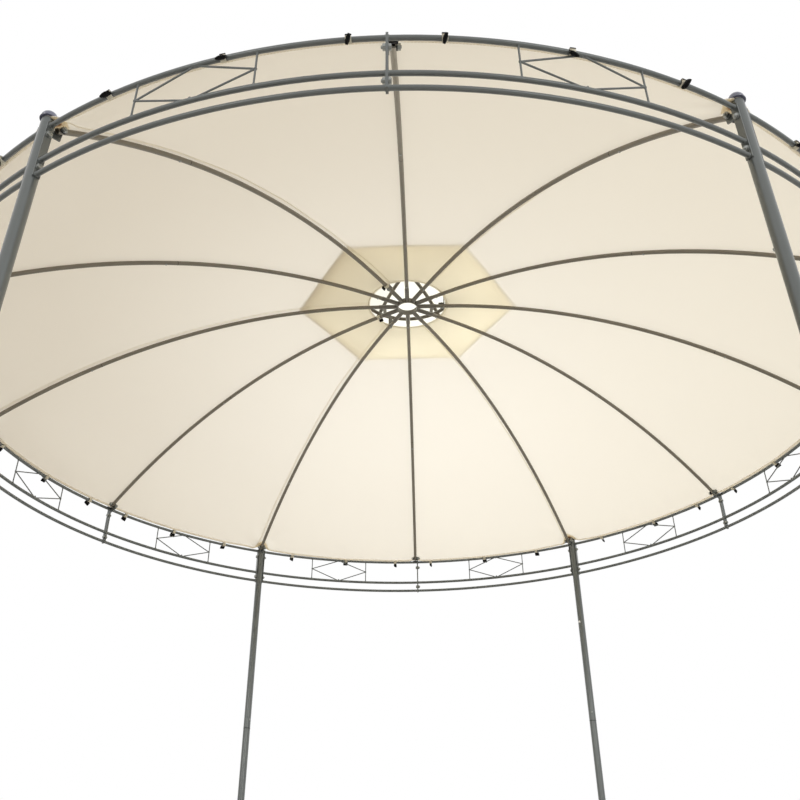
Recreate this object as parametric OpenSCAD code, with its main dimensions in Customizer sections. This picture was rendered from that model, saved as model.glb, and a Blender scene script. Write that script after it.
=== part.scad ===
// Round garden gazebo: six steel posts, a three-rail ring with lozenge ornaments,
// twelve curved roof ribs on a centre hub, a vented fabric dome and a raised hexagonal cap.
// Millimetres, +Z up, floor at z = 0, ring centred on the Z axis.

/* [Overall] */
// Radius of the ring, from the centre to the middle of the rails
ring_radius = 1750; // [1400:10:2200]
// Height of the middle of the top rail above the floor
eaves_height = 1985; // [1800:5:2300]

/* [Posts] */
// Outer diameter of a post
post_d = 34; // [25:1:50]
// Height of the joint between the lower and the upper half of a post
post_split = 1047; // [900:1:1300]
// How far a post stands up above the top rail
post_above = 28; // [20:1:40]
// Diameter of the spigot that joins the two halves
spigot_d = 30; // [20:0.5:44]
// Length of that spigot
spigot_len = 60; // [30:1:120]
// Diameter of the round foot plate
foot_d = 110; // [90:5:200]
// Thickness of the foot plate
foot_t = 4; // [3:0.5:8]
// Diameter of the two peg holes in a foot plate
peg_hole_d = 10; // [6:0.5:14]
// Distance of a peg hole from the post axis
peg_offset = 38; // [30:1:80]
// Height of the socket that holds the post on its plate
socket_h = 40; // [20:1:80]
// Diameter of the domed finial on the post
finial_d = 42; // [34:1:60]

/* [Ring] */
// Diameter of the three rails
rail_d = 13.5; // [10:0.5:20]
// Drop from the top rail to the middle rail
mid_drop = 122; // [90:1:180]
// Drop from the top rail to the low rail
low_drop = 170; // [130:1:260]
// Thickness of the flat bars that close a bay
bar_t = 3; // [2:0.5:6]
// Width of the flat bars
bar_w = 20; // [15:1:30]
// Diameter of the rods in the lozenge ornament
rod_d = 5; // [4:0.5:8]
// Half the angle covered by the ornament
ornament_half = 5.1; // [3:0.1:8]

/* [Roof] */
// Diameter of a roof rib
rib_d = 16; // [12:0.5:25]
// Radius of the curve of a rib
rib_curve = 2578; // [2400:1:2800]
// Horizontal distance of the centre of that curve from the middle of the gazebo
rib_centre_x = 143; // [100:1:200]
// Highest point of a rib above the top rail
rib_rise = 551; // [450:1:650]
// Distance from the middle at which a rib starts
rib_start = 125; // [90:1:160]
// Distance from the middle at which a rib ends
rib_end = 1728; // [1700:1:1735]
// Diameter of the hub stubs, which reach into the ribs
stub_d = 13; // [10:0.5:14]
// Diameter of the sleeves between the hub ring and the ribs
sleeve_d = 18.5; // [16:0.5:20]
// Outer radius of the hub ring
hub_r = 48; // [35:1:70]
// Height of the hub ring
hub_h = 22; // [15:1:40]

/* [Canopy] */
// Thickness of the solid canopy
cloth_t = 2.5; // [1:0.1:5]
// Radius of the vent in the middle of the canopy
vent_r = 166; // [150:1:220]
// Distance of the hem from the middle
hem_r = 1738; // [1700:1:1745]

/* [Cap] */
// Highest point of the cap above the top rail
cap_rise = 762; // [650:1:850]
// Distance of the cap corners from the middle
cap_corner = 475; // [400:1:560]
// Height of the cap hem above the top rail
cap_hem = 549; // [520:1:600]
// Diameter of the six crown ribs
crown_d = 16; // [10:0.5:20]
// Diameter of the tube of the crown hoop
hoop_d = 16; // [10:0.5:18]
// Radius of the crown hoop
hoop_r = 212; // [190:1:225]
// Height of the crown hoop above the top rail
hoop_rise = 638; // [620:1:660]
// Distance from the middle of the upright part of a strap leg
leg_r = 161; // [150:1:175]
// Distance from the middle at which an arm of the hoop meets a crown rib
arm_r = 236; // [210:1:280]

/* [Hidden] */
$fn = 64;
gap = 0.2;
steel = [0.42, 0.43, 0.42];
ball = [0.22, 0.23, 0.28];
cream = [0.93, 0.89, 0.80];
warm = [0.90, 0.84, 0.72];

post_r = post_d / 2;
bar_face = bar_t + 0.1;                       // outer face of the bar beside a bay joint
rib_offset = bar_face + gap + rib_d / 2;      // a rib lies beside its bar, not in line with it
rib_turn = asin(rib_offset / rib_end);        // so the whole roof is turned by this angle
rib_centre_z = rib_rise - rib_curve;
cap_flat = cap_corner * cos(30);
cap_drop = cap_rise - cap_hem;
cap_curve = (pow(cap_flat, 2) + pow(cap_drop, 2)) / (2 * cap_drop);
crown_hub_r = 28;
crown_rise = cap_rise - crown_d / 2 - 3;      // crown rib centre line at the middle
crown_end = cap_corner - 45;
crown_low = cap_rise - cap_curve + sqrt(pow(cap_curve, 2) - pow(crown_end * cos(30), 2)) - 0.65 * crown_d - 3;
crown_drop = crown_rise - crown_low;          // the crown ribs end just under the folds of the cap
crown_curve = (pow(crown_end, 2) + pow(crown_drop, 2)) / (2 * crown_drop);

// Height of a rib centre line above the top rail at distance r from the middle
function rib_z(r) = rib_centre_z + sqrt(pow(rib_curve, 2) - pow(r - rib_centre_x, 2));
function rib_angle(r) = acos((r - rib_centre_x) / rib_curve);
// Height of a crown rib centre line
function crown_z(r) = crown_rise - crown_curve + sqrt(pow(crown_curve, 2) - r * r);
// Point a distance t outwards along a crown rib from its arm, and n below its centre line
function under_crown(t, n) = let (s = asin(arm_r / crown_curve))
    [arm_r + t * cos(s) - n * sin(s), crown_z(arm_r) - t * sin(s) - n * cos(s)];

// Straight round rod between two points
module rod(a, b, d) {
    v = b - a;
    len = norm(v);
    translate(a) rotate([0, acos(v[2] / len), atan2(v[1], v[0])]) cylinder(d = d, h = len);
}

// Curved tube in the vertical plane through the X axis
module arc_tube(cx, cz, radius, a0, a1, d) {
    translate([cx, 0, cz]) rotate([90, 0, 0])
        rotate_extrude(start = a0, angle = a1 - a0) translate([radius, 0]) circle(d = d);
}

module at_post(k) rotate([0, 0, 60 * k]) translate([ring_radius, 0, 0]) children();

module foot_plates() color(steel)
    for (k = [0:5]) at_post(k) difference() {
        union() {
            cylinder(d = foot_d, h = foot_t);
            cylinder(d = post_d + 5, h = foot_t + socket_h);
        }
        translate([0, 0, foot_t]) cylinder(d = post_d + 2 * gap, h = socket_h + 1);
        for (s = [-1, 1]) translate([0, s * peg_offset, -1]) cylinder(d = peg_hole_d, h = foot_t + 2);
    }

module lower_post(k) color(steel) at_post(k) difference() {
    translate([0, 0, foot_t]) cylinder(d = post_d, h = post_split - foot_t);
    translate([0, 0, post_split - spigot_len - 2]) cylinder(d = spigot_d + 2 * gap, h = spigot_len + 3);
}

// Upper half of a post with its spigot below and the welded lug for the rib above
module upper_post(k) color(steel) at_post(k) translate([0, 0, eaves_height]) difference() {
    union() {
        translate([0, 0, post_split - eaves_height]) cylinder(d = post_d, h = eaves_height - post_split + post_above);
        translate([0, 0, post_split - eaves_height - spigot_len]) cylinder(d = spigot_d, h = spigot_len + 1);
        translate([-ring_radius, bar_face, 0]) rotate([90, 0, 0]) linear_extrude(bar_t + 1)
            polygon([[ring_radius - 10, -16], [1708, -8], [1706, 16], [1712, 22], [ring_radius - 10, 2]]);
    }
    translate([0, 0, post_above - 22]) cylinder(d = 10.4, h = 23);
}

module finials() color(ball)
    for (k = [0:5]) at_post(k) translate([0, 0, eaves_height + post_above + cloth_t + 0.6]) {
        cylinder(d = finial_d, h = 6);
        translate([0, 0, 6]) difference() {
            sphere(d = finial_d);
            translate([0, 0, -finial_d]) cube(2 * finial_d, center = true);
        }
        translate([0, 0, -20]) cylinder(d = 10, h = 21);
    }

// One 30 degree bay of the ring; mirrored bays alternate so that a post bar meets a post
module bay_shape() {
    post_side = post_r + 0.1;
    a0 = asin((post_side + bar_t / 2) / ring_radius);
    a1 = 30 - asin((0.1 + bar_t / 2) / ring_radius);
    for (drop = [0, mid_drop, low_drop])
        translate([0, 0, -drop]) rotate_extrude(start = a0, angle = a1 - a0)
            translate([ring_radius, 0]) circle(d = rail_d);
    // bar bolted to the side of the post
    translate([ring_radius - bar_w / 2, post_side, -low_drop - 8]) cube([bar_w, bar_t, low_drop + 16]);
    // bar bolted to the next bay, with an ear reaching in under the rib
    rotate([0, 0, 30]) translate([0, -0.1, 0]) rotate([90, 0, 0]) linear_extrude(bar_t)
        polygon([[ring_radius + bar_w / 2, 8], [ring_radius - bar_w / 2, 8], [1713, 21], [1707, 14], [1710, -8],
                 [ring_radius - bar_w / 2, -20], [ring_radius - bar_w / 2, -low_drop - 8],
                 [ring_radius + bar_w / 2, -low_drop - 8]]);
    // lozenge between two upright rods
    side = [for (s = [-1, 1]) [ring_radius * cos(15 + s * ornament_half), ring_radius * sin(15 + s * ornament_half), 0]];
    centre = [ring_radius * cos(15), ring_radius * sin(15), 0];
    for (p = side) {
        rod(p - [0, 0, mid_drop], p, rod_d);
        for (h = [0, -mid_drop]) rod(p - [0, 0, mid_drop / 2], centre + [0, 0, h * 0.97 - 2], rod_d);
    }
}

module ring_bay(k) color(steel) translate([0, 0, eaves_height])
    rotate([0, 0, 30 * k]) if (k % 2 == 0) bay_shape();
    else rotate([0, 0, 30]) mirror([0, 1, 0]) bay_shape();

module rib(k) color(steel) translate([0, 0, eaves_height]) rotate([0, 0, 30 * k + rib_turn]) difference() {
    arc_tube(rib_centre_x, rib_centre_z, rib_curve, rib_angle(rib_end), rib_angle(rib_start), rib_d);
    translate([rib_start - 1, 0, rib_rise]) rotate([0, 90, 0]) cylinder(d = stub_d + 2 * gap, h = 43);
    translate([rib_end, 0, rib_z(rib_end)]) rotate([0, 180 - rib_angle(rib_end) , 0])
        translate([0, 0, -30]) cylinder(d = rib_d - 3, h = 40);
}

module hub() color(steel) in_roof() translate([0, 0, rib_rise]) difference() {
    union() {
        translate([0, 0, -hub_h / 2]) cylinder(r = hub_r, h = hub_h);
        for (k = [0:11]) rotate([0, 90, 30 * k]) translate([0, 0, hub_r - 5]) {
            cylinder(d = sleeve_d, h = rib_start + 4.5 - hub_r);
            cylinder(d = stub_d, h = rib_start + 38 - hub_r);
        }
    }
    translate([0, 0, -hub_h]) cylinder(r = hub_r - 6, h = 2 * hub_h);
}

module in_roof() translate([0, 0, eaves_height]) rotate([0, 0, rib_turn]) children();

// Small disc at the top of the cap, to which the crown ribs are fixed
module crown_hub() color(steel) in_roof() translate([0, 0, crown_rise - 9]) cylinder(r = crown_hub_r, h = 15);

module crown_ribs() color(steel) in_roof() for (k = [0:5]) rotate([0, 0, 60 * k])
    arc_tube(0, crown_rise - crown_curve, crown_curve, 90 - asin(crown_end / crown_curve),
             90 - asin((crown_hub_r + 3 * gap) / crown_curve), crown_d);

// Hoop on three strap legs bolted to ribs, with six bent arms that carry the crown ribs
module crown_hoop() color(steel) in_roof() {
    foot_z = rib_rise + rib_d / 2 + gap;
    bend_z = hoop_rise - 34;
    tab = crown_d / 2 + 2 * gap;
    translate([0, 0, hoop_rise]) rotate_extrude() translate([hoop_r, 0]) circle(d = hoop_d);
    for (k = [0:2]) rotate([0, 0, 120 * k]) rotate([90, 0, 0]) linear_extrude(18, center = true)
        polygon([[leg_r - 24, foot_z], [leg_r + 2, foot_z], [leg_r + 2, bend_z], [hoop_r + 1, hoop_rise - 1],
                 [hoop_r - 2, hoop_rise + 2], [leg_r - 2, bend_z + 3], [leg_r - 2, foot_z + 4],
                 [leg_r - 24, foot_z + 4]]);
    for (k = [0:5]) rotate([0, 0, 60 * k]) rotate([90, 0, 0]) linear_extrude(16, center = true)
        polygon([under_crown(-14, tab), under_crown(14, tab), under_crown(14, tab + 3), under_crown(-12, tab + 3),
                 [hoop_r + 4, hoop_rise], [hoop_r - 1, hoop_rise]]);
}

// Cross section of the dome between the vent and the hem, a band just above the ribs
module dome_band() {
    inner = rib_curve + rib_d / 2 + 0.7;
    intersection() {
        translate([rib_centre_x, rib_centre_z]) difference() {
            circle(r = inner + cloth_t, $fn = 720);
            circle(r = inner, $fn = 720);
        }
        translate([vent_r, 0]) square([hem_r - vent_r, rib_rise + 60]);
    }
}

module main_canopy() color(cream) translate([0, 0, eaves_height]) {
    difference() {
        rotate_extrude($fn = 180) dome_band();
        for (k = [0:5]) rotate([0, 0, 60 * k]) translate([ring_radius, 0, -20]) cylinder(d = post_d + 1, h = 48);
    }
    // corner pads pinned between the post tops and the finials
    for (k = [0:5]) rotate([0, 0, 60 * k]) translate([0, 0, post_above + 0.3]) difference() {
        union() {
            translate([1714, -23, 0]) cube([ring_radius - 1714, 46, cloth_t]);
            translate([ring_radius, 0, 0]) cylinder(d = 46, h = cloth_t);
        }
        translate([ring_radius, 0, -1]) cylinder(d = 11, h = cloth_t + 2);
    }
}

// Space under three crossing arches, a six-sided dome with straight hems
module six_sided_dome(radius, low) {
    intersection_for (k = [0:2]) rotate([0, 0, 30 + 60 * k]) rotate([90, 0, 0])
        linear_extrude(4 * cap_corner, center = true) intersection() {
            translate([0, cap_rise - cap_curve]) circle(r = radius, $fn = 360);
            translate([-cap_corner, low]) square([2 * cap_corner, cap_drop + 30]);
        }
}

// The cap, with the round patch that backs the crossing of its seams
module cap_canopy() color(warm) in_roof() {
    difference() {
        six_sided_dome(cap_curve + cloth_t, cap_hem);
        six_sided_dome(cap_curve, cap_hem - 10);
    }
    translate([0, 0, cap_rise - 2.5]) cylinder(r = 34, h = cloth_t + 3.5);
}

lower_post(0);  // lower_post_1
lower_post(1);  // lower_post_2
lower_post(2);  // lower_post_3
lower_post(3);  // lower_post_4
lower_post(4);  // lower_post_5
lower_post(5);  // lower_post_6
upper_post(0);  // upper_post_1
upper_post(1);  // upper_post_2
upper_post(2);  // upper_post_3
upper_post(3);  // upper_post_4
upper_post(4);  // upper_post_5
upper_post(5);  // upper_post_6
foot_plates();
finials();
ring_bay(0);  // ring_bay_01
ring_bay(1);  // ring_bay_02
ring_bay(2);  // ring_bay_03
ring_bay(3);  // ring_bay_04
ring_bay(4);  // ring_bay_05
ring_bay(5);  // ring_bay_06
ring_bay(6);  // ring_bay_07
ring_bay(7);  // ring_bay_08
ring_bay(8);  // ring_bay_09
ring_bay(9);  // ring_bay_10
ring_bay(10);  // ring_bay_11
ring_bay(11);  // ring_bay_12
rib(0);  // rib_01
rib(1);  // rib_02
rib(2);  // rib_03
rib(3);  // rib_04
rib(4);  // rib_05
rib(5);  // rib_06
rib(6);  // rib_07
rib(7);  // rib_08
rib(8);  // rib_09
rib(9);  // rib_10
rib(10);  // rib_11
rib(11);  // rib_12
hub();
crown_hub();
crown_ribs();
crown_hoop();
main_canopy();
cap_canopy();
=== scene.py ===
import math
import random

import bmesh
import bpy
from mathutils import Matrix, Vector


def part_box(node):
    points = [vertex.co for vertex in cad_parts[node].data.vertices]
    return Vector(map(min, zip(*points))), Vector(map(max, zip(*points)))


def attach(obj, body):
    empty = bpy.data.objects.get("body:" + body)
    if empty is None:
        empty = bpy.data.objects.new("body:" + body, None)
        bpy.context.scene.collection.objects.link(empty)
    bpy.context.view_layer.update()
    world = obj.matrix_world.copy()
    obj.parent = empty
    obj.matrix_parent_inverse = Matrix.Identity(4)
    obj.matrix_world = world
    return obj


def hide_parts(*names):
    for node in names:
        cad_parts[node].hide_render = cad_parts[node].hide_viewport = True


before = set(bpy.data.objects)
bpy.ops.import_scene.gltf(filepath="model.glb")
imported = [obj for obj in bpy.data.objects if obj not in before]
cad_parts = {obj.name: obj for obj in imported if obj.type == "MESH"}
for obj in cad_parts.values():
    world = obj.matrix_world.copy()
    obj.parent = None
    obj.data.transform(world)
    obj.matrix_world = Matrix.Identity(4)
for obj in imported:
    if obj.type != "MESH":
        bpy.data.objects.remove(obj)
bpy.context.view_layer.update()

# The camera stands just outside the front of the ring, low down, and looks up through
# the frame at the inside of the dome. Its lens is shifted a little sideways.
camera_place = Vector((0.0651, -2.9775, 0.2989))
camera_pitch, camera_yaw, camera_roll = 0.5363, -0.0079, -0.0204
ahead = Vector((math.sin(camera_yaw) * math.cos(camera_pitch),
                math.cos(camera_yaw) * math.cos(camera_pitch), math.sin(camera_pitch)))
aside = Vector((math.cos(camera_yaw), -math.sin(camera_yaw), 0.0))
above = aside.cross(ahead)
turned_aside = math.cos(camera_roll) * aside + math.sin(camera_roll) * above
turned_above = -math.sin(camera_roll) * aside + math.cos(camera_roll) * above
lens = bpy.data.cameras.new("camera")
lens.sensor_width, lens.clip_end = 36.0, 100.0
lens.lens, lens.shift_x, lens.shift_y = 37.7964, -0.0234375, -0.00315
camera = bpy.data.objects.new("camera", lens)
camera.matrix_world = Matrix((
    (turned_aside.x, turned_above.x, -ahead.x, camera_place.x),
    (turned_aside.y, turned_above.y, -ahead.y, camera_place.y),
    (turned_aside.z, turned_above.z, -ahead.z, camera_place.z),
    (0.0, 0.0, 0.0, 1.0)))
bpy.context.scene.collection.objects.link(camera)
bpy.context.scene.camera = camera


# Posts, feet, railed bays, roof ribs, hub and crown are welded steel tube and flat bar under a
# powder coat: satin grey, darker on hub and crown. The warm tint on the ribs, hub and crown is painted
# light: it stands for the warm glow that the cream dome throws on them. They are the packed nodes,
# with the coating put on them here.
class Reading:
    """A number read over a surface. Ordinary arithmetic on it adds Math nodes."""

    def __init__(self, finish, socket):
        self.finish, self.socket = finish, socket

    def maths(self, operation, *operands, limit=False):
        return self.finish.node("ShaderNodeMath", {"operation": operation, "use_clamp": limit},
                                dict(enumerate(operands)))

    def __add__(self, other):
        return self.maths("ADD", self, other)

    def __rsub__(self, other):
        return self.maths("SUBTRACT", other, self)

    def __mul__(self, other):
        return self.maths("MULTIPLY", self, other)

    __radd__ = __add__
    __rmul__ = __mul__


class Nodes:
    """The nodes of one material, or of the sky."""

    def __init__(self, owner):
        owner.use_nodes = True
        self.tree = owner.node_tree

    def put(self, socket, value):
        if isinstance(value, Reading):
            self.tree.links.new(value.socket, socket)
        else:
            socket.default_value = value

    def node(self, kind, settings=None, inputs=None, out=0):
        made = self.tree.nodes.new(kind)
        for name, value in (settings or {}).items():
            if name == "stops":
                ramp = made.color_ramp.elements
                while len(ramp) < len(value):
                    ramp.new(1.0)
                for stop, (at, shade) in zip(ramp, value):
                    stop.position, stop.color = at, shade
            else:
                setattr(made, name, value)
        for name, value in (inputs or {}).items():
            self.put(made.inputs[name], value)
        return Reading(self, made.outputs[out])

    def mix(self, share, first, second):
        return self.node("ShaderNodeMix", {"data_type": "RGBA"}, {0: share, 6: first, 7: second}, out=2)

    def either(self, share, first, second):
        return self.node("ShaderNodeMixShader", {}, {"Fac": share, 1: first, 2: second})


class Finish(Nodes):
    """A material being mixed, with a Principled shader at its end."""

    def __init__(self, name, **constants):
        self.material = bpy.data.materials.new(name)
        super().__init__(self.material)
        self.shader = self.tree.nodes["Principled BSDF"]
        for socket, value in constants.items():
            self.put(self.shader.inputs[socket.replace("_", " ")], value)

    def noise(self, place, size, detail=2.0, roughness=0.5):
        return self.node("ShaderNodeTexNoise", {}, {
            "Vector": place, "Scale": 1.0 / size, "Detail": detail, "Roughness": roughness})

    def coloured(self, share, first, second):
        self.put(self.shader.inputs["Base Color"], self.mix(share, first, second))

    def roughened(self, value):
        self.put(self.shader.inputs["Roughness"], value)

    def bumps(self, height, strength, depth):
        self.put(self.shader.inputs["Normal"], self.node("ShaderNodeBump", {}, {
            "Height": height, "Strength": strength, "Distance": depth}))

    def object_place(self):
        return self.node("ShaderNodeTexCoord", out="Object")

    def let_through(self, share, colour):
        """Makes a share of the surface translucent."""
        glow = self.node("ShaderNodeBsdfTranslucent", {}, {"Color": colour})
        self.put(self.tree.nodes["Material Output"].inputs["Surface"],
                 self.either(share, Reading(self, self.shader.outputs[0]), glow))


def powder_coat(name, dark, light, gloss, metal=0.5):
    coat = Finish(name, Metallic=metal, Coat_Weight=0.35, Coat_Roughness=0.09)
    place = coat.object_place()
    cloud = coat.noise(place, size=0.22, detail=3.0)
    coat.coloured(cloud, dark, light)
    coat.roughened(gloss + 0.10 * cloud)
    coat.bumps(coat.noise(place, size=0.0022), strength=0.12, depth=0.0004)
    return coat.material


coated_grey = powder_coat("satin_grey_powder_coat", (0.120, 0.130, 0.125, 1),
                          (0.144, 0.155, 0.150, 1), 0.27)
# The warm tint of the next two coats is painted warm light from the dome, not the paint's own colour.
coat_with_painted_warm_light = powder_coat("rib_grey_coat_painted_warm_light", (0.178, 0.159, 0.122, 1),
                          (0.214, 0.191, 0.150, 1), 0.36, 0.3)
dark_coat_with_painted_warm_light = powder_coat("dark_grey_coat_painted_warm_light", (0.136, 0.124, 0.099, 1),
                          (0.168, 0.153, 0.124, 1), 0.36, 0.3)


def refinish(names, material):
    for name in names:
        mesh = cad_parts[name].data
        mesh.materials.clear()
        mesh.materials.append(material)


rib_nodes = [f"rib_{number:02d}" for number in range(1, 13)]
crown_nodes = ["hub", "crown_hub", "crown_hoop", "crown_ribs"]
soft_nodes = ["finials", "main_canopy", "cap_canopy"]
refinish(sorted(set(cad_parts) - set(rib_nodes + crown_nodes + soft_nodes)), coated_grey)
refinish(rib_nodes, coat_with_painted_warm_light)
refinish(crown_nodes, dark_coat_with_painted_warm_light)

# Each post ends in a domed cap of dark blue-grey moulded plastic with a rolled rim. A pin under it
# goes through the corner of the canopy into the post.
moulded = Finish("blue_grey_moulded_plastic", Coat_Weight=0.6, Coat_Roughness=0.05)
moulded_place = moulded.object_place()
moulded_cloud = moulded.noise(moulded_place, 0.03, 3.0)
moulded.coloured(moulded_cloud, (0.088, 0.092, 0.138, 1), (0.137, 0.142, 0.205, 1))
moulded.roughened(0.14 + 0.10 * moulded_cloud)
moulded.bumps(moulded.noise(moulded_place, size=0.0012), strength=0.08, depth=0.0002)
refinish(["finials"], moulded.material)
post_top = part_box("upper_post_1")[1].z
ring_radius = (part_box("lower_post_1")[0].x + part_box("lower_post_1")[1].x) / 2


def piece_of(name, shape, material):
    """Turns a finished bmesh into a piece of the gazebo that rides on its one body."""
    mesh = bpy.data.meshes.new(name)
    shape.to_mesh(mesh)
    shape.free()
    mesh.materials.append(material)
    mesh.shade_smooth()
    mesh.set_sharp_from_angle(angle=math.radians(38))
    piece = bpy.data.objects.new(name, mesh)
    bpy.context.scene.collection.objects.link(piece)
    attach(piece, "root")
    return piece


def outward(shape):
    """Turns every face of a shape to look outwards."""
    bmesh.ops.recalc_face_normals(shape, faces=shape.faces)
    return shape


def gathered(*parts):
    """One mesh made of several finished parts."""
    mesh = bpy.data.meshes.new("part")
    whole = bmesh.new()
    for part in parts:
        part.to_mesh(mesh)
        part.free()
        whole.from_mesh(mesh)
    whole.to_mesh(mesh)
    whole.free()
    return mesh


def repeated(shape, part, frames):
    """Copies a part to each of many frames."""
    for each in frames:
        before = len(shape.verts)
        shape.from_mesh(part)
        shape.verts.ensure_lookup_table()
        bmesh.ops.transform(shape, matrix=each, verts=shape.verts[before:])


def hoop(radius, thickness, around=48, across=8):
    """A round ring lying flat about the Z axis."""
    ring = bmesh.new()
    section = bmesh.ops.create_circle(ring, segments=across, radius=thickness, matrix=Matrix.Translation(
        (radius, 0, 0)) @ Matrix.Rotation(math.radians(90), 4, "X"))
    bmesh.ops.spin(ring, geom=section["verts"] + ring.edges[:], cent=(0, 0, 0), axis=(0, 0, 1),
                   angle=math.tau, steps=around, use_merge=True, use_duplicate=False)
    return outward(ring)


rims = bmesh.new()
rim = gathered(hoop(0.0213, 0.0013))
repeated(rims, rim, [Matrix.Rotation(math.radians(60 * post), 4, "Z")
                     @ Matrix.Translation((ring_radius, 0, post_top + 0.0046)) for post in range(6)])
piece_of("finial_rims", rims, moulded.material)

# The dome is one sheet of cream polyester in six gores, stretched over the twelve ribs. Between
# ribs it pulls a little flat, its hem follows the top rail, and its corners rise over the posts.
rail_height = post_top - 0.028
rib_offset, rib_reach = 0.0113, 1.728
rib_turn = math.asin(rib_offset / rib_reach)
rib_curve, rib_middle, rib_foot = 2.578, 0.143, -2.027
vent_radius, hem_radius = 0.166, 1.738
cloth_above_rib, cloth_thick = 0.0094, 0.0006
hem_out, tie_pull, corner_pull = 0.0056, 0.0008, 0.0150
corner_lift = post_top + 0.0012 - rail_height - 0.0102
slack_lift, hem_dip, tie_dip, fold_depth = 0.0058, 0.0057, 0.0006, 0.0022
tie_angles = [math.radians(60 * sector + between) for sector in range(6)
              for between in (7.1, 17.2, 27.1, 34.4, 44.0, 54.0)]


def ease(low, high, value):
    share = min(max((value - low) / (high - low), 0.0), 1.0)
    return share * share * (3 - 2 * share)


def from_nearest(angle, step, start=0.0):
    """How far an angle lies from the nearest of many evenly spaced ones, along the ring."""
    return ring_radius * ((angle - start + step / 2) % step - step / 2)


def tug(angle, spread):
    """How strongly the nearest tie pulls at an angle, from 0 to 1."""
    return max(math.exp(-((angle - tie + math.pi) % math.tau - math.pi) ** 2 / spread) for tie in tie_angles)


def hem_place(angle):
    """Distance of the hem from the middle, a little more at each tie and most at the corners."""
    corner = math.exp(-(from_nearest(angle, math.radians(60)) / 0.048) ** 2)
    return hem_radius + hem_out + max(tie_pull * tug(angle, 0.0012), corner_pull * corner)


def cloth_height(radius, angle, offset=0.0):
    """Height of the dome's cloth: taut between ribs, up over each post, lifted where it is slack."""
    from_rib = abs(from_nearest(angle, math.radians(30), rib_turn)) / ring_radius
    between = math.cos(math.radians(15) - from_rib) / math.cos(math.radians(15)) - 1
    radius = min(radius, hem_radius)
    taut = 0.5 * (1 - ease(1.40, 1.735, radius)) * ease(0.19, 0.40, radius)
    reach = radius * (1 + taut * between)
    arc = rib_curve + cloth_above_rib + offset
    height = rail_height + rib_foot + math.sqrt(arc ** 2 - (reach - rib_middle) ** 2)
    along = from_nearest(angle, math.radians(60))
    over_rib = 1 - ease(0.010, 0.040, from_rib * ring_radius)
    rise = (1 - ease(0.015, 0.062, abs(along))) * ease(1.670, 1.734, radius)
    height += corner_lift * rise
    settle = ease(1.66, 1.738, radius) * ease(0.05, 0.12, abs(along)) * (1 - over_rib)
    degrees = math.degrees(angle) % 360
    slack = ease(104, 124, degrees) * (1 - ease(146, 172, degrees))
    height += settle * (slack_lift * slack - hem_dip + tie_dip * (1 - tug(angle, 0.0009)))
    spread = math.hypot(along, radius - ring_radius)
    fold = math.sin(9 * math.atan2(along, ring_radius - radius + 1e-6) + 0.7)
    folded = ease(0.03, 0.07, spread) * (1 - ease(0.10, 0.24, spread))
    return height + fold_depth * fold * folded * (1 - over_rib)


def draped(radius, angle, offset=0.0):
    """Point of the dome's cloth at a distance from the middle and an angle, raised by an offset."""
    radius += (hem_place(angle) - hem_radius) * ease(1.60, hem_radius, radius)
    return Vector((radius * math.cos(angle), radius * math.sin(angle), cloth_height(radius, angle, offset)))


def thicken(piece, thickness=cloth_thick):
    wall = piece.modifiers.new("thickness", "SOLIDIFY")
    wall.thickness, wall.offset = thickness, 0.0
    return piece


def woven(name, pale, deep, glow_colour, through, thread=0.00075):
    """Plain woven cloth. The share of light it lets through is a number, or a function of the place."""
    fabric = Finish(name, Specular_IOR_Level=0.2, Sheen_Weight=0.06, Sheen_Roughness=0.5)
    place = fabric.object_place()
    cloud = fabric.noise(place, 0.55, 3.0)
    drawn_out = fabric.node("ShaderNodeMapping", {}, {"Vector": place, "Scale": (1, 1, 7)})
    slub = fabric.noise(drawn_out, 0.014)
    fabric.coloured(cloud * 0.7 + slub * 0.3, deep, pale)
    fabric.roughened(0.74 + 0.12 * slub)
    threads = [fabric.node("ShaderNodeTexWave", {"bands_direction": way}, {
        "Vector": place, "Scale": 0.314 / thread, "Distortion": 0.6, "Detail": 1.0}, out=1) for way in "XY"]
    fabric.bumps(threads[0] * 0.5 + threads[1] * 0.5 + slub, 0.10, 0.0003)
    fabric.let_through(through(place) if callable(through) else through, glow_colour)
    return fabric.material


cap_corner = 0.475
cap_flat = cap_corner * math.cos(math.radians(30))
dome_share, more_under_cap, cap_edge_blur = 0.72, 0.24, 0.014
fold_angles = [rib_turn + math.radians(30 + 60 * fold) for fold in range(3)]


def share_let_through(place):
    """The share of light the dome lets through. It is set higher in the hexagon under the cap, only
    to keep that part from rendering too dark under two layers."""
    x, y = (place.finish.node("ShaderNodeSeparateXYZ", {}, {"Vector": place}, out=way) for way in "XY")
    reach = 0.0
    for angle in fold_angles:
        across = x * math.cos(angle) + y * math.sin(angle)
        reach = across.maths("MAXIMUM", across.maths("ABSOLUTE", across), reach)
    covered = reach.maths("MULTIPLY_ADD", reach, -1 / cap_edge_blur, cap_flat / cap_edge_blur, limit=True)
    return dome_share + more_under_cap * covered


canopy_cloth = woven("cream_polyester", (0.88, 0.84, 0.765, 1), (0.85, 0.80, 0.715, 1),
                     (0.97, 0.93, 0.85, 1), share_let_through)

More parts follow.
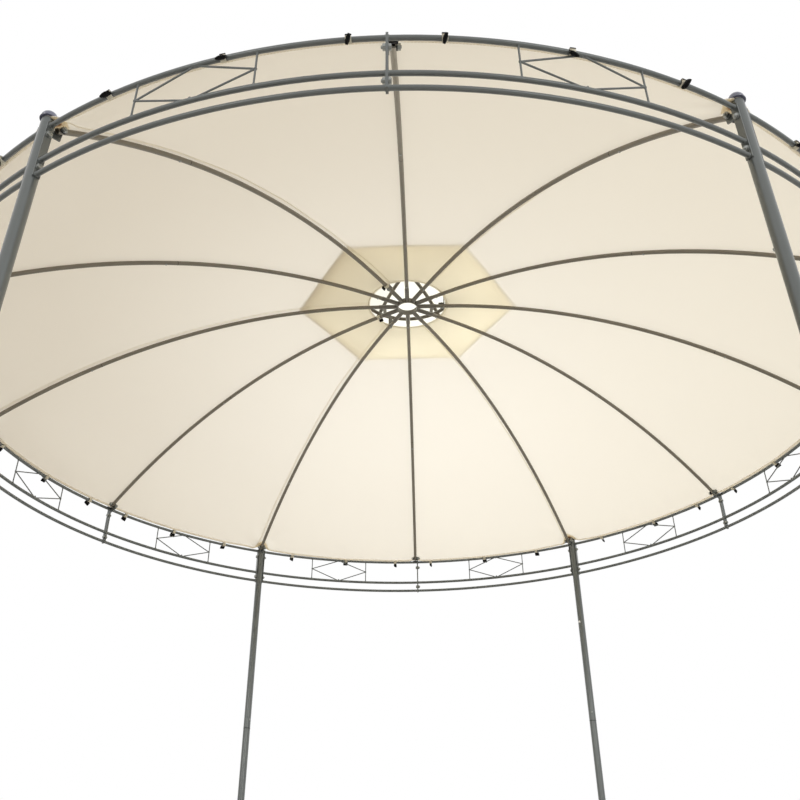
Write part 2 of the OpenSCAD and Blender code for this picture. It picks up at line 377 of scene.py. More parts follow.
dome = bmesh.new()
dome_radii = [vent_radius + 0.024 * step for step in range(60)]
dome_radii += [1.594 + 0.009 * step for step in range(16)] + [hem_radius]
row = [dome.verts.new((radius, 0, 0)) for radius in dome_radii]
bmesh.ops.spin(dome, geom=row + [dome.edges.new(pair) for pair in zip(row, row[1:])], cent=(0, 0, 0),
               axis=(0, 0, 1), angle=math.tau, steps=360, use_merge=True, use_duplicate=False)
for vertex in dome.verts:
    radius, angle = math.hypot(vertex.co.x, vertex.co.y), math.atan2(vertex.co.y, vertex.co.x)
    angle += rib_turn - 0.7 / 12 * math.sin(12 * angle)
    vertex.co = draped(radius, angle)
outward(dome)
dome_area = sum(face.calc_area() for face in dome.faces)
canopy_sheet = thicken(piece_of("canopy_sheet", dome, canopy_cloth))
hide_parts("main_canopy")

# The hem and the edge of the vent are turned under once, and each is sewn down with one row of
# stitches, so the cloth is double there.
doubled_cloth = woven("doubled_cream_polyester", (0.92, 0.88, 0.80, 1), (0.89, 0.84, 0.75, 1),
                      (0.99, 0.965, 0.91, 1), 0.86)


def strip(shape, lengthwise, crosswise, place):
    """A strip of cloth whose points are put in place by how far along and across it they are."""
    made = bmesh.ops.create_grid(shape, x_segments=lengthwise, y_segments=crosswise, size=0.5)
    for vertex in made["verts"]:
        vertex.co = place(vertex.co.x + 0.5, vertex.co.y * 2)


def sewn(shape):
    """Joins the ends of strips that meet, and turns their faces outwards."""
    bmesh.ops.remove_doubles(shape, verts=shape.verts, dist=0.00002)
    outward(shape)


hems = bmesh.new()
strip(hems, 720, 2, lambda far, side: draped(hem_radius - 0.0060 + 0.0060 * side, math.tau * far, -0.0011))
strip(hems, 240, 1, lambda far, side: draped(vent_radius + 0.0045 - 0.0045 * side, math.tau * far, -0.0011))
sewn(hems)
canopy_hems = thicken(piece_of("canopy_hems", hems, doubled_cloth))

# The rows of stitches are thick cream thread, one stitch in every eight millimetres, along the
# hem and round the edge of the vent.
thread = woven("cream_thread", (0.86, 0.80, 0.67, 1), (0.79, 0.72, 0.58, 1),
               (0.88, 0.82, 0.68, 1), 0.4, 0.0004)


def points_in(made):
    return [each for each in made if isinstance(each, bmesh.types.BMVert)]


def one_stitch(length, thick=0.00045):
    """A single stitch lying along X, with its ends drawn down into the cloth."""
    stitch = bmesh.new()
    bmesh.ops.create_circle(stitch, segments=4, radius=thick, matrix=Matrix.Translation(
        (-length / 2, 0, 0)) @ Matrix.Rotation(math.radians(90), 4, "Y"))
    grown = stitch.edges[:]
    for step in range(2):
        made = bmesh.ops.extrude_edge_only(stitch, edges=grown)["geom"]
        grown = [each for each in made if isinstance(each, bmesh.types.BMEdge)]
        bmesh.ops.translate(stitch, vec=(length / 2, 0, 0), verts=points_in(made))
    for vertex in stitch.verts:
        if abs(vertex.co.x) < 1e-6:
            vertex.co.z -= thick
    return outward(stitch)


def on_cloth(radius, angle, offset):
    """Frame on the dome's cloth, X along the ring and Z away from the cloth."""
    here = draped(radius, angle, offset)
    along = (draped(radius, angle + 0.002, offset) - here).normalized()
    inwards = (draped(radius - 0.004, angle, offset) - here).normalized()
    out = along.cross(inwards).normalized()
    return Matrix.Translation(here) @ Matrix((along, out.cross(along), out)).transposed().to_4x4()


stitches = bmesh.new()
stitch_part = gathered(one_stitch(0.0052))
stitch_pitch, stitch_depth = 0.008, -0.0017
for radius in (hem_radius - 0.0105, vent_radius + 0.0065):
    count = int(math.tau * radius / stitch_pitch)
    repeated(stitches, stitch_part, [on_cloth(radius, math.tau * number / count, stitch_depth)
                                     for number in range(count)])
hem_stitches = piece_of("hem_stitches", stitches, thread)

# Six thin cream tapes cover the seams between the gores. They run beside the post ribs and wander a
# little, as sewn tape does.
tape_cloth = woven("cream_seam_tape", (0.90, 0.84, 0.73, 1), (0.86, 0.79, 0.67, 1),
                   (0.98, 0.95, 0.87, 1), 0.80)
tape_aside, tape_half = 0.0185, 0.0021
tapes = bmesh.new()
for gore in range(6):
    def along_seam(far, side, gore=gore):
        radius = vent_radius + 0.01 + (hem_radius - 0.03 - vent_radius) * far
        wander = 0.0022 * math.sin(11 * far + 2 * gore) + 0.0012 * math.sin(37 * far + gore)
        angle = math.radians(60 * gore) + rib_turn
        return draped(radius, angle + (tape_aside + wander + tape_half * side) / radius, -0.0012)

    strip(tapes, 110, 1, along_seam)
outward(tapes)
gore_seams = thicken(piece_of("gore_seams", tapes, tape_cloth))

# A three-cornered piece of doubled cloth lies under each corner of the dome. Its colour is painted
# light and shade: it goes from cream through orange to dark brown at the place where rib and post meet,
# with faint radiating folds. This stands for light coming through two layers and for the shade where rib
# and post meet, and the cloth lets less light through where the painted shade is deepest.
corner_cloth = Finish("doubled_corner_cloth_painted_shade", Roughness=0.8, Specular_IOR_Level=0.2)
nearness = corner_cloth.node("ShaderNodeAttribute", {"attribute_name": "nearness"}, out="Fac")
corner_cloth.put(corner_cloth.shader.inputs["Base Color"], corner_cloth.node("ShaderNodeValToRGB", {"stops": (
    (0.0, (0.92, 0.87, 0.76, 1)), (0.35, (0.90, 0.72, 0.44, 1)), (0.75, (0.62, 0.36, 0.16, 1)),
    (1.0, (0.25, 0.10, 0.05, 1)))}, {"Fac": nearness}))
corner_cloth.bumps(corner_cloth.noise(corner_cloth.object_place(), 0.004, 3.0), 0.3, 0.0006)
# Where the painted shade is deep, the cloth also lets less light through.
corner_cloth.let_through(0.86 - 0.80 * nearness, (0.985, 0.94, 0.83, 1))
corners = bmesh.new()
painted_shade_layer = corners.verts.layers.float.new("nearness")
patch_tip = 1.681
for post in range(6):
    def on_corner(far, side, post=post):
        radius = patch_tip + (hem_radius - 0.0005 - patch_tip) * far
        reach = radius - patch_tip + 0.0005
        angle = math.radians(60 * post) + rib_turn * 0.5 + reach * side / ring_radius
        return draped(radius, angle, -0.0022)

    strip(corners, 14, 16, on_corner)
# The painted corner shade: a dark core where rib and post meet, and an orange fringe with radiating folds.
for vertex in corners.verts:
    angle = math.atan2(vertex.co.y, vertex.co.x)
    along = from_nearest(angle, math.radians(60), 0.0030)
    away = math.hypot(along, (math.hypot(vertex.co.x, vertex.co.y) - 1.727) * 1.2)
    folds = 0.5 + 0.5 * math.sin(11 * math.atan2(along, 0.02))
    core, fringe = 1 - ease(0.005, 0.015, away), 1 - ease(0.012, 0.045, away)
    vertex[painted_shade_layer] = 0.72 * core + (0.16 + 0.12 * folds) * fringe
outward(corners)
corner_patches = thicken(piece_of("corner_patches", corners, corner_cloth.material), 0.0008)

# From each corner a round tongue of the dome's own cloth lies on the post top, where the domed cap
# pins it.
tongues = bmesh.new()
for post in range(6):
    on_post = (Matrix.Rotation(math.radians(60 * post), 4, "Z")
               @ Matrix.Translation((ring_radius - 0.003, 0, post_top + 0.0020)))
    tongue = bmesh.ops.create_circle(tongues, cap_ends=True, segments=28, radius=0.0185, matrix=on_post)
    bmesh.ops.inset_region(tongues, faces=tongue["verts"][0].link_faces[:], thickness=0.011)
outward(tongues)
corner_tongues = thicken(piece_of("corner_tongues", tongues, canopy_cloth), 0.0008)

# Thirty-six ties hold the hem to the top rail. Each is a cream webbing strap round the rail with
# black hook-and-loop tape: a band over the top, and the two ends pressed into a pad outside.
webbing = woven("cream_webbing", (0.93, 0.89, 0.77, 1), (0.87, 0.82, 0.69, 1),
                (0.95, 0.91, 0.78, 1), 0.5, 0.0012)
hook_tape = Finish("black_hook_and_loop", Roughness=0.92, Specular_IOR_Level=0.12, Sheen_Weight=0.08,
                   Sheen_Roughness=0.4)
hook_place = hook_tape.object_place()
hook_pile = hook_tape.noise(hook_place, 0.0011, 3.0, 0.7)
hook_tape.coloured(hook_pile, (0.002, 0.002, 0.002, 1), (0.010, 0.010, 0.010, 1))
hook_tape.bumps(hook_pile, strength=0.8, depth=0.0008)
hook_black = hook_tape.material
loops, tabs = bmesh.new(), bmesh.new()
chance = random.Random(36)
strap = 0.0086


def round_rail(degrees, loose=0.0, size=strap):
    """Point round the rail, as distances outwards and up. A loose strap stands off the top."""
    size += loose * math.exp(-((degrees - 55) / 48) ** 2)
    return size * math.cos(math.radians(degrees)), size * math.sin(math.radians(degrees))


def followed(line, far):
    """Point a share of the way along a line of points."""
    at = far * (len(line) - 1)
    whole = min(int(at), len(line) - 2)
    share = at - whole
    return [line[whole][k] + (line[whole + 1][k] - line[whole][k]) * share for k in (0, 1)]


tab_line = [(-0.001, -0.0024), (0.004, -0.0044), (0.009, -0.0052), (0.0135, -0.0044), (0.0165, -0.0022),
            (0.0168, 0.0016), (0.0145, 0.0044), (0.0095, 0.0052), (0.005, 0.0044), (-0.001, 0.0024)]

for number, tie in enumerate(tie_angles):
    tie += math.radians(chance.uniform(-0.4, 0.4))
    lean, drop = math.radians(chance.uniform(-14, 14)), math.radians(chance.uniform(-58, -34))
    twist = math.radians(chance.uniform(-24, 24) if number % 6 in (0, 1, 4) else chance.uniform(58, 78))
    loose = chance.uniform(0.0008, 0.0040)
    frame_at = (Matrix.Rotation(tie, 4, "Z") @ Matrix.Translation((ring_radius, 0, rail_height)))
    tilt = Matrix.Rotation(lean, 4, "X")
    loop_line = [round_rail(-50 - 14.5 * step) for step in range(11)] + [(-0.0125, 0.0040)]
    loop_line += [round_rail(118 - 14 * step, loose) for step in range(13)]
    band_line = [round_rail(16 + 10 * step, loose, strap + 0.0012) for step in range(11)]

    def on_strap(far, side, line=loop_line, half=0.0074):
        out, up = followed(line, far)
        narrowed = 1 - 0.45 * ease(0.004, 0.011, up)
        return frame_at @ tilt @ Vector((out, half * narrowed * side, up))

    strip(loops, len(loop_line) - 1, 2, on_strap)
    strip(tabs, len(band_line) - 1, 2, lambda far, side: on_strap(far, side, band_line, 0.0078))
    tab_root = (frame_at @ Matrix.Rotation(-drop, 4, "Y") @ Matrix.Translation((strap + 0.0006, 0, 0))
                @ Matrix.Rotation(twist, 4, "X"))
    strip(tabs, len(tab_line) - 1, 3, lambda far, side: tab_root @ Vector(
        (followed(tab_line, far)[0], 0.0122 * side, followed(tab_line, far)[1] * (1 - 0.55 * side * side))))
for shape in (loops, tabs):
    sewn(shape)
tie_loops = thicken(piece_of("tie_loops", loops, webbing), 0.0010)
tie_tabs = thicken(piece_of("tie_tabs", tabs, hook_black), 0.0012)

# Two more ties hold the edge of the vent down to ribs beside the hub: a cream strap under the rib,
# closed on one side with a black pad.
vent_loops, vent_pads = bmesh.new(), bmesh.new()
stub_height = 0.551
for heading, leaning, past_edge in ((150, -0.5, -0.018), (240, 0.2, 0.008)):
    round_rib = (Matrix.Rotation(math.radians(heading) + rib_turn, 4, "Z")
                 @ Matrix.Translation((vent_radius + past_edge, 0, rail_height + stub_height - 0.0002)))
    turns = [math.radians(200 - 20 * step) for step in range(12)]
    around = [(math.cos(turn) * 0.0105, math.sin(turn) * 0.0098) for turn in turns]
    strip(vent_loops, 11, 2, lambda far, side: round_rib @ Vector(
        (0.0075 * side, followed(around, far)[0], -followed(around, far)[1])))
    pad_root = round_rib @ Matrix.Translation((0, -0.0108, -0.002)) @ Matrix.Rotation(
        math.radians(-115) + leaning, 4, "X")
    strip(vent_pads, len(tab_line) - 1, 3, lambda far, side: pad_root @ Vector(
        (0.0085 * side, followed(tab_line, far)[0] * 0.8, followed(tab_line, far)[1] * 0.6)))
for shape in (vent_loops, vent_pads):
    sewn(shape)
vent_tie_loops = thicken(piece_of("vent_tie_loops", vent_loops, webbing), 0.0010)
vent_tie_pads = thicken(piece_of("vent_tie_pads", vent_pads, hook_black), 0.0012)

# The cap is a smaller sheet of cream cloth in six panels, sewn along the folds over the crown
# ribs. It stands clear of the dome, above the open vent.
cap_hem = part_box("cap_canopy")[0].z
cap_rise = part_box("cap_canopy")[1].z - 0.0035 - cap_hem
cap_curve = (cap_flat ** 2 + cap_rise ** 2) / (2 * cap_rise)


def cap_height(x, y, offset=0.0):
    """Height of the cap's cloth, the lowest of three crossing arches."""
    reach = max(abs(x * math.cos(angle) + y * math.sin(angle)) for angle in fold_angles)
    arc = cap_curve + 0.0012 + offset
    return cap_hem + cap_rise - cap_curve + math.sqrt(max(arc ** 2 - reach ** 2, 0.0))


cap_cloth = woven("cream_polyester_cap", (0.90, 0.87, 0.80, 1), (0.87, 0.835, 0.76, 1),
                  (1.0, 0.98, 0.90, 1), 0.86)
cap_turn = Matrix.Rotation(rib_turn + math.radians(30), 4, "Z")
cap = bmesh.new()
bmesh.ops.create_circle(cap, cap_ends=True, segments=6, radius=cap_corner, matrix=cap_turn)
bmesh.ops.poke(cap, faces=cap.faces)
bmesh.ops.subdivide_edges(cap, edges=cap.edges, cuts=17, use_grid_fill=True)
for vertex in cap.verts:
    vertex.co.z = cap_height(vertex.co.x, vertex.co.y)
outward(cap)
cap_area = sum(face.calc_area() for face in cap.faces)
cap_sheet = thicken(piece_of("cap_sheet", cap, cap_cloth))
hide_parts("cap_canopy")

# The cap's hem is turned under, and tape covers the six seams and the place where they cross.
cap_trim = bmesh.new()
bmesh.ops.create_circle(cap_trim, cap_ends=True, segments=6, radius=cap_corner - 0.001, matrix=cap_turn)
bmesh.ops.subdivide_edges(cap_trim, edges=cap_trim.edges, cuts=15)
middle = cap_trim.faces[:]
bmesh.ops.inset_region(cap_trim, faces=middle, thickness=0.009)
bmesh.ops.delete(cap_trim, geom=middle, context="FACES")
for vertex in cap_trim.verts:
    vertex.co.z = cap_height(vertex.co.x, vertex.co.y, -0.0011)
for seam in range(6):
    heading = Matrix.Rotation(rib_turn + math.radians(60 * seam), 3, "Z")

    def along_fold(far, side):
        flat = heading @ Vector((0.030 + (cap_corner - 0.045) * far, 0.005 * side, 0))
        ridge = heading @ Vector((flat.length, 0, 0))
        return Vector((flat.x, flat.y, cap_height(ridge.x, ridge.y, -0.0013) - 0.0022 * abs(side)))

    strip(cap_trim, 24, 2, along_fold)
bmesh.ops.create_circle(cap_trim, cap_ends=True, segments=24, radius=0.032, matrix=Matrix.Translation(
    (0, 0, cap_hem + cap_rise - 0.0004)))
outward(cap_trim)
trim_cloth = woven("doubled_cap_cloth", (0.90, 0.83, 0.69, 1), (0.86, 0.78, 0.63, 1),
                   (0.97, 0.91, 0.76, 1), 0.70)
cap_trims = thicken(piece_of("cap_trims", cap_trim, trim_cloth))

# Bolts are zinc-plated steel, 14 mm across the flats. Each has a washer and a hexagon head at one
# end, and a washer and a nut at the other: a domed nut on the posts, an open one on the bars.
zinc = Finish("dull_zinc_plate", Metallic=1.0)
zinc_place = zinc.object_place()
zinc_cloud = zinc.noise(zinc_place, 0.004, 3.0)
zinc.coloured(zinc_cloud, (0.24, 0.25, 0.235, 1), (0.40, 0.41, 0.39, 1))
zinc.roughened(0.24 + 0.22 * zinc_cloud)
zinc.bumps(zinc_cloud, strength=0.15, depth=0.0002)


def turned(outline, steps=18):
    """A part turned on a lathe about Z, from points given as distance from the axis and height."""
    part = bmesh.new()
    points = [part.verts.new((distance, 0, height)) for distance, height in outline]
    edges = [part.edges.new(pair) for pair in zip(points, points[1:])]
    bmesh.ops.spin(part, geom=points + edges, cent=(0, 0, 0), axis=(0, 0, 1), angle=math.tau,
                   steps=steps, use_merge=True, use_duplicate=False)
    bmesh.ops.remove_doubles(part, verts=part.verts, dist=1e-6)
    return outward(part)


def hexagon(across, low, high, chamfer=0.0008):
    """A six-sided nut or head on the Z axis, its top edges taken off."""
    part = bmesh.new()
    made = bmesh.ops.create_circle(part, cap_ends=True, segments=6, radius=across / math.sqrt(3),
                                   matrix=Matrix.Translation((0, 0, low)))
    lifted = bmesh.ops.extrude_face_region(part, geom=made["verts"][0].link_faces[:])["geom"]
    bmesh.ops.translate(part, vec=(0, 0, high - low), verts=points_in(lifted))
    top = [edge for edge in part.edges if all(vertex.co.z > high - 1e-6 for vertex in edge.verts)]
    bmesh.ops.bevel(part, geom=top, offset=chamfer, segments=1, profile=0.5, affect="EDGES", material=-1)
    return outward(part)


def pointing(place, direction):
    """Frame at a place, its Z axis along a direction."""
    ahead = Vector(direction).normalized()
    return Matrix.Translation(place) @ ahead.to_track_quat("Z", "Y").to_matrix().to_4x4()


def round_ring(angle, radius, height, along=0.0):
    """Point from angle, distance from the middle, height over the top rail's middle, step sideways."""
    return Vector((radius * math.cos(angle) - along * math.sin(angle),
                   radius * math.sin(angle) + along * math.cos(angle), rail_height + height))


def ring_way(angle):
    return Vector((-math.sin(angle), math.cos(angle), 0))


def washer(outer, thick, low=0.0, edge=0.0004):
    return turned([(0.0, low), (outer - edge, low), (outer, low + edge), (outer, low + thick - edge),
                   (outer - edge, low + thick), (0.0, low + thick)])


def domed(outer, low, high):
    turns = [math.radians(18 * step) for step in range(5)]
    arch = [(outer * math.cos(turn), low + (high - low) * math.sin(turn)) for turn in turns]
    return turned([(0.0, low)] + arch + [(0.0, high)])


flats = 0.0142
head = gathered(washer(0.0094, 0.0016), hexagon(flats, 0.0016, 0.0070), domed(0.0046, 0.0069, 0.0077))
dome_nut = gathered(washer(0.0094, 0.0016), hexagon(flats, 0.0016, 0.0060, 0.0012),
                    domed(0.0060, 0.0058, 0.0106))
end_nut = gathered(washer(0.0090, 0.0014), hexagon(flats, 0.0014, 0.0074, 0.0010),
                   turned([(0.0, 0.007), (0.0039, 0.007), (0.0039, 0.0096), (0.0032, 0.0104), (0.0, 0.0104)]))

post_face, bar_face = 0.0202, 0.0031
bolts = bmesh.new()
for corner in range(12):
    angle = math.radians(30 * corner)
    face, nut = (post_face, dome_nut) if corner % 2 == 0 else (bar_face, end_nut)
    for height in (-0.033, -0.147):
        for side, part in ((1, head), (-1, nut)):
            repeated(bolts, part, [pointing(round_ring(angle, ring_radius, height, side * face),
                                            side * ring_way(angle))])
piece_of("frame_bolts", bolts, zinc.material)

# One bolt crosses each rib end and the lug or ear beside it. It has a hexagon on each side, and
# its shank stands out a few millimetres past both.
bolt_reach, bolt_rise = 1.717, 0.0118
rib_ends = [pointing(round_ring(turn, bolt_reach, bolt_rise), ring_way(turn))
            for turn in (math.radians(30 * rib) for rib in range(12))]
shank = turned([(0.0, -0.0165), (0.0032, -0.0165), (0.0039, -0.0158), (0.0039, 0.0315), (0.0032, 0.0322),
                (0.0, 0.0322)], 12)
rib_bolt = gathered(shank, hexagon(0.0145, -0.0125, -0.0046, 0.001), washer(0.0088, 0.0014, -0.0046),
                    hexagon(0.0145, 0.0226, 0.0304, 0.001))
rib_bolts = bmesh.new()
repeated(rib_bolts, rib_bolt, rib_ends)
piece_of("rib_end_bolts", rib_bolts, zinc.material)

# A black rubber washer lies between each rib and the hexagon beyond it. Where a rib ends between
# two posts, a rubber block lies between it and the top rail. A thin black ring at each post joint is
# painted shade: it stands for the dark line in the gap where the two halves of the post meet.
rubber = Finish("black_rubber_and_joint_shade", Roughness=0.55)
rubber_cloud = rubber.noise(rubber.object_place(), 0.003, 2.0)
rubber.coloured(rubber_cloud, (0.006, 0.006, 0.006, 1), (0.016, 0.016, 0.017, 1))
rubber.bumps(rubber_cloud, strength=0.2, depth=0.0002)
rubbers = bmesh.new()
repeated(rubbers, gathered(washer(0.0092, 0.0030, 0.0195, 0.0008)), rib_ends)
block = bmesh.new()
bmesh.ops.create_circle(block, cap_ends=True, segments=16, radius=0.0036)
bmesh.ops.scale(block, vec=(1.25, 1.0, 1.0), verts=block.verts)
far_end = points_in(bmesh.ops.extrude_face_region(block, geom=block.faces[:])["geom"])
bmesh.ops.translate(block, vec=(0, 0, 0.0215), verts=far_end)
end_edges = [edge for edge in block.edges if len({round(vertex.co.z, 5) for vertex in edge.verts}) == 1]
bmesh.ops.bevel(block, geom=end_edges, offset=0.0009, segments=2, profile=0.5, affect="EDGES", material=-1)
block_part = gathered(outward(block))
for strut in range(6):
    angle = math.radians(60 * strut + 30)
    laid = Matrix.Rotation(angle, 4, "Z") @ Matrix.Rotation(math.radians(-90), 4, "X")
    repeated(rubbers, block_part, [Matrix.Translation(round_ring(angle, 1.7378, 0.0008, 0.0034)) @ laid])
split_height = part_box("lower_post_1")[1].z
# The joint rings are painted shade, a dark line where the two post halves meet.
joint_shade_ring = gathered(turned([(0.0150, -0.0018), (0.0170, -0.0018), (0.01745, -0.0012), (0.01745, 0.0012),
                              (0.0170, 0.0018), (0.0150, 0.0018), (0.0150, -0.0018)], 32))
repeated(rubbers, joint_shade_ring, [Matrix.Rotation(math.radians(60 * post), 4, "Z")
                               @ Matrix.Translation((ring_radius, 0, split_height)) for post in range(6)])
piece_of("rubber_parts_and_joint_shade_rings", rubbers, rubber.material)

# Pan-headed screws pin each post to its joint and its foot socket, and every rib to its hub stub.
# Every second post also has a small bright metal button on its inner side.
pan_screw = gathered(washer(0.0050, 0.0008, 0.0, 0.0002), domed(0.0046, 0.0008, 0.0034),
                     turned([(0.0, 0.0032), (0.0011, 0.0033), (0.0011, 0.0037), (0.0, 0.0038)], 8))
screws = bmesh.new()
for post in range(6):
    inwards = math.radians(60 * post + 180)
    for height, turn_by, depth in ((split_height + 0.040, 0.35, 0.0171), (0.024, 0.0, 0.0196)):
        facing = Vector((math.cos(inwards + turn_by), math.sin(inwards + turn_by), 0))
        axis = Vector((-ring_radius * math.cos(inwards), -ring_radius * math.sin(inwards), height))
        repeated(screws, pan_screw, [pointing(axis + depth * facing, facing)])
for rib in range(12):
    angle = math.radians(30 * rib) + rib_turn
    repeated(screws, pan_screw, [pointing(round_ring(angle, 0.146, stub_height - 0.0079), (0, 0, -1))])
piece_of("pan_screws", screws, zinc.material)
button = gathered(turned([(0.0, 0.0), (0.0036, 0.0), (0.0036, 0.0028), (0.0058, 0.0034), (0.0061, 0.0046),
                          (0.0048, 0.0062), (0.0022, 0.0069), (0.0, 0.0070)], 20))
nickel = Finish("bright_nickel", Metallic=1.0)
nickel_cloud = nickel.noise(nickel.object_place(), 0.003, 2.0)
nickel.coloured(nickel_cloud, (0.78, 0.77, 0.74, 1), (0.90, 0.89, 0.86, 1))
nickel.roughened(0.18 + 0.1 * nickel_cloud)
nickel.bumps(nickel_cloud, strength=0.05, depth=0.0001)
button_height = 1.545
buttons = bmesh.new()
for post in (1, 3, 5):
    outwards = Vector((math.cos(math.radians(60 * post)), math.sin(math.radians(60 * post)), 0))
    facing = Matrix.Rotation(-0.15, 3, "Z") @ -outwards
    axis = outwards * ring_radius + Vector((0, 0, button_height))
    repeated(buttons, button, [pointing(axis + facing * 0.0169, facing)])
piece_of("curtain_buttons", buttons, nickel.material)

# Bolts 10 mm across the flats hold the crown, at each strap foot, at each bent arm under a crown
# rib, and in the middle of the top disc. Their nuts face down.
small_head = gathered(washer(0.0068, 0.0012), hexagon(0.0100, 0.0012, 0.0052, 0.0007))
small_nut = gathered(washer(0.0066, 0.0012), hexagon(0.0100, 0.0012, 0.0062, 0.0009),
                     turned([(0.0, 0.006), (0.0029, 0.006), (0.0029, 0.0092), (0.0023, 0.0098),
                             (0.0, 0.0098)], 12))


def sloping(angle, slope):
    """Directions out along a slope and down from it, in the upright plane at an angle."""
    flat = Vector((math.cos(angle), math.sin(angle), 0))
    return (math.cos(slope) * flat - Vector((0, 0, math.sin(slope))),
            -math.sin(slope) * flat - Vector((0, 0, math.cos(slope))))


crown_set = bmesh.new()
arm_reach, arm_drop, crown_curve = 0.236, 0.0116, 0.6374
arm_slope = math.asin(arm_reach / crown_curve)
crown_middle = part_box("crown_hub")[0].z - rail_height + 0.009
foot_bolt_reach, foot_nut_reach = 0.150, 0.158
for arm in range(6):
    angle = math.radians(60 * arm) + rib_turn
    radius = arm_reach - arm_drop * math.sin(arm_slope)
    height = (crown_middle - crown_curve + math.sqrt(crown_curve ** 2 - arm_reach ** 2)
              - arm_drop * math.cos(arm_slope))
    below_arm = round_ring(angle, radius, height)
    repeated(crown_set, small_nut, [pointing(below_arm, sloping(angle, arm_slope)[1])])
    if arm % 2 == 0:
        above_rib = round_ring(angle, foot_bolt_reach, stub_height + 0.0122)
        below_rib = round_ring(angle, foot_nut_reach, stub_height - 0.0078)
        repeated(crown_set, small_head, [pointing(above_rib, (0, 0, 1))])
        repeated(crown_set, small_nut, [pointing(below_rib, (0, 0, -1))])
repeated(crown_set, small_nut, [pointing((0, 0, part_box("crown_hub")[0].z), (0, 0, -1))])
piece_of("crown_bolts", crown_set, zinc.material)

# The rods of the ornaments are welded where they meet the rails and each other, and the rails are
# welded to the flat bars. The welds are small grey lumps and collars under the same coating.
bead = bmesh.new()
bmesh.ops.create_icosphere(bead, subdivisions=1, radius=0.0044)
bmesh.ops.smooth_vert(bead, verts=bead.verts, factor=0.2)
bead_part = gathered(bead)
collar_part = gathered(turned([(0.0066, -0.0030), (0.0071, -0.0026), (0.0077, -0.0008), (0.0079, 0.0)], 16))
welds = bmesh.new()
middle_drop, low_drop, half_angle = 0.122, 0.170, math.radians(5.1)
for bay in range(12):
    middle_angle = math.radians(30 * bay + 15)
    spots = [(middle_angle, -0.0050), (middle_angle, -0.97 * middle_drop + 0.0045)]
    for upright in (middle_angle - half_angle, middle_angle + half_angle):
        spots += [(upright, -0.0068), (upright, -middle_drop + 0.0068), (upright, -middle_drop / 2)]
    repeated(welds, bead_part, [Matrix.Translation(round_ring(angle, ring_radius, height))
                                for angle, height in spots])
    for corner, side in ((bay, 1), (bay + 1, -1)):
        angle = math.radians(30 * corner)
        sideways = side * (post_face - 0.0001 if corner % 2 == 0 else bar_face)
        repeated(welds, collar_part, [pointing(round_ring(angle, ring_radius, -drop, sideways),
                                               -side * ring_way(angle))
                                      for drop in (0.0, middle_drop, low_drop)])
piece_of("weld_marks", welds, coated_grey)

# Each rib is in two lengths. A narrow dark band marks where the outer one slips over the inner
# one, and a small screw holds them.
gaps = bmesh.new()
gap_part = gathered(turned([(0.0076, -0.0011), (0.0083, -0.0009), (0.0083, 0.0009), (0.0076, 0.0011)], 20))
rib_screws = bmesh.new()
for rib in range(12):
    angle, reach = math.radians(30 * rib) + rib_turn, 1.300 if rib % 2 == 0 else 1.000
    centre = round_ring(angle, reach, rib_foot + math.sqrt(rib_curve ** 2 - (reach - rib_middle) ** 2))
    along, down = sloping(angle, math.asin((reach - rib_middle) / rib_curve))
    repeated(gaps, gap_part, [pointing(centre, along)])
    repeated(rib_screws, pan_screw, [pointing(centre + along * 0.045 + down * 0.0077, down)])
piece_of("rib_gaps", gaps, rubber.material)
piece_of("rib_joint_screws", rib_screws, zinc.material)

# The floor is a plain pale round stage, much wider than the gazebo.
floor_radius = 14.0
stage_finish = Finish("pale_stage", Roughness=0.9)
stage_cloud = stage_finish.noise(stage_finish.object_place(), size=1.5)
stage_finish.coloured(stage_cloud, (0.58, 0.56, 0.53, 1), (0.62, 0.60, 0.57, 1))
ground = bmesh.new()
bmesh.ops.create_circle(ground, cap_ends=True, segments=96, radius=floor_radius)
ground_mesh = bpy.data.meshes.new("floor")
ground.to_mesh(ground_mesh)
ground.free()
ground_mesh.materials.append(stage_finish.material)
floor = bpy.data.objects.new("floor", ground_mesh)
bpy.context.scene.collection.objects.link(floor)

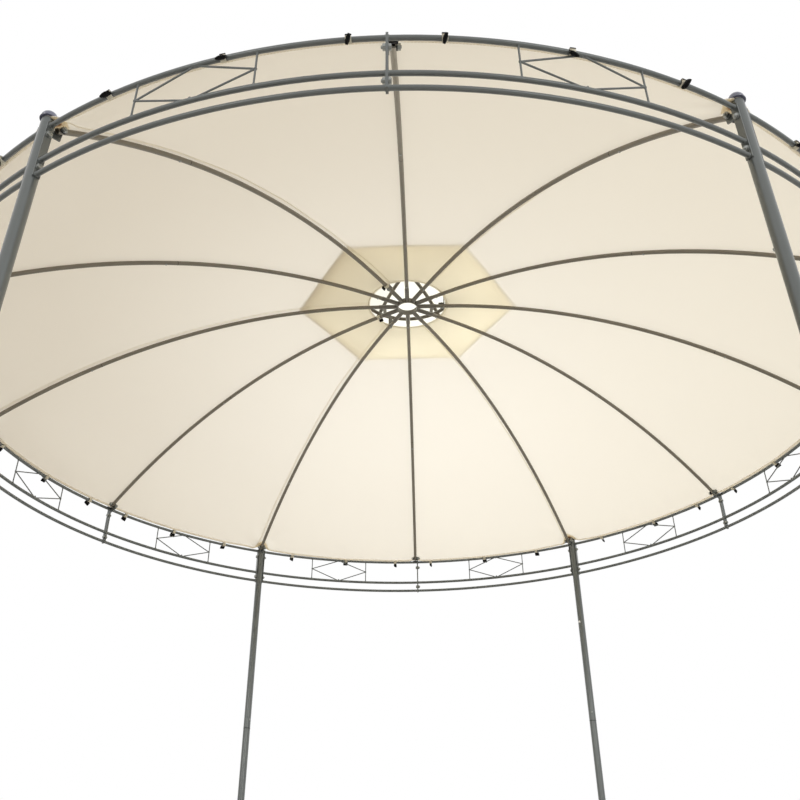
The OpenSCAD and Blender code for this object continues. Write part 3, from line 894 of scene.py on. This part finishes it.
# The light of the sky is uneven on purpose: it falls off to dark and warm on the left of the
# doorway and is bright all round the rest. Seen directly or in a reflection, it is plain white.
sky = bpy.data.worlds.new("sky")
bpy.context.scene.world = sky
sky_nodes = Nodes(sky)
sky_place = sky_nodes.node("ShaderNodeTexCoord", out="Generated")
sky_x, sky_y = (sky_nodes.node("ShaderNodeSeparateXYZ", {}, {"Vector": sky_place}, out=way)
                for way in "XY")
bright_way = math.radians(25)
toward_bright = sky_x * math.cos(bright_way) + sky_y * math.sin(bright_way)
sky_share = toward_bright.maths("MULTIPLY_ADD", toward_bright, 2.4, 1.6, limit=True)
sky_colour = sky_nodes.mix(sky_share, (0.16, 0.09, 0.01, 1), (1.26, 1.285, 1.305, 1))
sky_light, sky_seen = (sky_nodes.node("ShaderNodeBackground", {}, {"Color": colour, "Strength": 1.0})
                       for colour in (sky_colour, (1, 1, 1, 1)))
camera_ray, glossy_ray, diffuse_ray, clear_ray = (
    sky_nodes.node("ShaderNodeLightPath", out=f"Is {kind} Ray")
    for kind in ("Camera", "Glossy", "Diffuse", "Transmission"))
seen = camera_ray + glossy_ray + clear_ray * (1 - diffuse_ray)
sky_nodes.put(sky_nodes.tree.nodes["World Output"].inputs["Surface"],
              sky_nodes.either(seen, sky_light, sky_seen))


# A soft bluish lamp hangs over the back of the dome, and two large white ones stand far in front.
def softbox(name, place, aim, width, height, power, colour=(1, 1, 1)):
    light = bpy.data.lights.new(name, "AREA")
    light.shape, light.size, light.size_y, light.energy = "RECTANGLE", width, height, power
    light.color = colour
    lamp = bpy.data.objects.new(name, light)
    lamp.location = place
    lamp.rotation_euler = (Vector(aim) - Vector(place)).to_track_quat("-Z", "Y").to_euler()
    bpy.context.scene.collection.objects.link(lamp)


softbox("lamp_over_the_back", (-0.05, 1.55, 5.0), (-0.03, 0.8, 2.4), 1.4, 1.4, 35, (0.90, 1.0, 1.22))
for name, lamp_x in (("lamp_left", -7.4), ("lamp_right", 7.4)):
    softbox(name, (lamp_x, -14.0, 3.6), (0, 0.8, 1.6), 5.3, 2.0, 160)
bpy.context.scene.view_settings.view_transform = "Standard"
